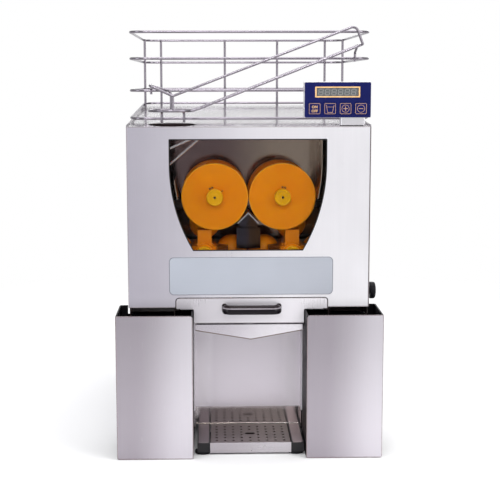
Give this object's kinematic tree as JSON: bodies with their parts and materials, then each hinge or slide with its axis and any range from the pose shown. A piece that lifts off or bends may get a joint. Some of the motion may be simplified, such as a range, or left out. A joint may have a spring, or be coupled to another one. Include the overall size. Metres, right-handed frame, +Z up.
{
  "type": "automatic orange juicer",
  "caption": "Counter-top automatic orange juicer with a wire fruit basket, sloping wire ramp, windowed front cover, coupled cup and ball drums, filter drawer, drip tray and peel bins.",
  "frame": {"origin": "on the table, under the middle of the whole machine's footprint", "axes": "+Z up, front with the window and the drip tray towards -Y, +X to the right as seen from the front"},
  "size_m": [0.47, 0.62, 0.7599],
  "materials": {
    "satin_steel": "fine satin brushed",
    "steel_plain": "plain sheet",
    "polished_steel": "polished sheet",
    "drip_steel": "brushed",
    "wire_steel": "bright wire",
    "machined_steel": "machined",
    "cast_alloy": "cast",
    "motor_paint": "satin paint",
    "black_plastic": "moulded, fine grain",
    "dark_plastic": "moulded",
    "black_gloss": "gloss moulded",
    "black_rubber": "moulded",
    "orange_plastic": "satin moulded",
    "yellow_plastic": "satin moulded",
    "blue_plastic": "membrane film",
    "display_glass": "display window",
    "label_plastic": "film on sheet",
    "smoked_clear": "smoked clear sheet"
  },
  "bodies": {
    "housing": {"base_plate": "steel_plain", "splash_panel": "polished_steel", "side_panels": "satin_steel", "rear_cover": "steel_plain", "power_inlet": "black_plastic", "top_tray": "polished_steel", "chamber_wall": "polished_steel", "peel_chutes": "steel_plain", "base_arms": "black_plastic", "feet": "black_rubber", "chamber_liners": "polished_steel", "gearbox_housing": "cast_alloy", "shaft_bearings": "machined_steel", "shaft_seals": "black_rubber", "motor_body": "motor_paint", "knife_blade": "polished_steel", "knife_holder": "polished_steel", "peel_ejectors": "dark_plastic", "feed_guide": "wire_steel", "control_housing": "satin_steel", "keypad_face": "blue_plastic", "lcd_screen": "display_glass"},
    "upper_left_drum": {"cup_drum_left": "orange_plastic", "drum_disc_left": "orange_plastic", "drum_knob_upper_left": "yellow_plastic", "gear_shaft_upper_left": "machined_steel"},
    "upper_right_drum": {"cup_drum_right": "orange_plastic", "drum_disc_right": "orange_plastic", "drum_knob_upper_right": "yellow_plastic", "gear_shaft_upper_right": "machined_steel"},
    "lower_left_drum": {"ball_drum_left": "yellow_plastic", "press_balls_left": "orange_plastic", "drum_knob_lower_left": "yellow_plastic", "gear_shaft_lower_left": "machined_steel"},
    "lower_right_drum": {"ball_drum_right": "yellow_plastic", "press_balls_right": "orange_plastic", "drum_knob_lower_right": "yellow_plastic", "gear_shaft_lower_right": "machined_steel"},
    "pinion": {"drive_pinion": "machined_steel"},
    "basket": {"fruit_basket": "wire_steel"},
    "ramp": {"orange_ramp": "wire_steel", "feed_ring": "wire_steel"},
    "front_cover": {"cover_panel": "satin_steel", "cover_window": "smoked_clear", "label_plate": "label_plastic"},
    "drawer": {"drawer_tray": "satin_steel", "drawer_strainer": "steel_plain", "drawer_handle": "black_gloss"},
    "juice_catcher": {"juice_tray": "satin_steel"},
    "drip": {"drip_tray": "satin_steel"},
    "grille": {"drip_grille": "drip_steel"},
    "peel_bin_left": {"bin_left": "black_plastic", "bin_front_left": "satin_steel"},
    "peel_bin_right": {"bin_right": "black_plastic", "bin_front_right": "satin_steel"},
    "key_on_off": {"button_on_off": "blue_plastic"},
    "key_glass": {"button_glass": "blue_plastic"},
    "key_plus": {"button_plus": "blue_plastic"},
    "key_minus": {"button_minus": "blue_plastic"},
    "switch_knob": {"side_knob": "black_gloss"}
  },
  "joints": [
    {"name": "upper_left_spin", "type": "hinge", "parent": "housing", "child": "upper_left_drum", "pos_m": [-0.0605, -0.181, 0.46], "axis": [0, 1, 0], "continuous": true},
    {"name": "upper_right_spin", "type": "hinge", "parent": "housing", "child": "upper_right_drum", "pos_m": [0.0605, -0.181, 0.46], "axis": [0, 1, 0], "continuous": true},
    {"name": "lower_left_spin", "type": "hinge", "parent": "housing", "child": "lower_left_drum", "pos_m": [-0.079, -0.181, 0.357], "axis": [0, 1, 0], "continuous": true},
    {"name": "lower_right_spin", "type": "hinge", "parent": "housing", "child": "lower_right_drum", "pos_m": [0.079, -0.181, 0.357], "axis": [0, 1, 0], "continuous": true},
    {"name": "pinion_spin", "type": "hinge", "parent": "housing", "child": "pinion", "pos_m": [0.10083, -0.05, 0.52986], "axis": [0, 1, 0], "continuous": true},
    {"name": "basket_lift", "type": "slide", "parent": "housing", "child": "basket", "axis": [0, 0, 1], "range_m": [0, 0.05]},
    {"name": "ramp_lift", "type": "slide", "parent": "basket", "child": "ramp", "axis": [0, 0, 1], "range_m": [0, 0.025]},
    {"name": "cover_pull", "type": "slide", "parent": "housing", "child": "front_cover", "axis": [0, -1, 0], "range_m": [0, 0.12]},
    {"name": "drawer_slide", "type": "slide", "parent": "housing", "child": "drawer", "axis": [0, -1, 0], "range_m": [0, 0.13]},
    {"name": "juice_tray_slide", "type": "slide", "parent": "housing", "child": "juice_catcher", "axis": [0, -1, 0], "range_m": [0, 0.085]},
    {"name": "drip_tray_slide", "type": "slide", "parent": "housing", "child": "drip", "axis": [0, -1, 0], "range_m": [0, 0.112]},
    {"name": "grille_lift", "type": "slide", "parent": "drip", "child": "grille", "axis": [0, 0, 1], "range_m": [0, 0.03]},
    {"name": "bin_left_slide", "type": "slide", "parent": "housing", "child": "peel_bin_left", "axis": [0, -1, 0], "range_m": [0, 0.15]},
    {"name": "bin_right_slide", "type": "slide", "parent": "housing", "child": "peel_bin_right", "axis": [0, -1, 0], "range_m": [0, 0.15]},
    {"name": "press_on_off", "type": "slide", "parent": "housing", "child": "key_on_off", "axis": [0, 1, 0], "range_m": [0, 0.0008], "stiffness_N_per_m": 600},
    {"name": "press_glass", "type": "slide", "parent": "housing", "child": "key_glass", "axis": [0, 1, 0], "range_m": [0, 0.0008], "stiffness_N_per_m": 600},
    {"name": "press_plus", "type": "slide", "parent": "housing", "child": "key_plus", "axis": [0, 1, 0], "range_m": [0, 0.0008], "stiffness_N_per_m": 600},
    {"name": "press_minus", "type": "slide", "parent": "housing", "child": "key_minus", "axis": [0, 1, 0], "range_m": [0, 0.0008], "stiffness_N_per_m": 600},
    {"name": "knob_turn", "type": "hinge", "parent": "housing", "child": "switch_knob", "pos_m": [0.2153, -0.234, 0.289], "axis": [1, 0, 0], "range_deg": [0, 90]}
  ],
  "couplings": [
    {"joint": "upper_right_spin", "follows": "upper_left_spin", "ratio": -1},
    {"joint": "lower_left_spin", "follows": "upper_left_spin", "ratio": -1},
    {"joint": "lower_right_spin", "follows": "upper_left_spin", "ratio": 1},
    {"joint": "pinion_spin", "follows": "upper_left_spin", "ratio": 3}
  ]
}
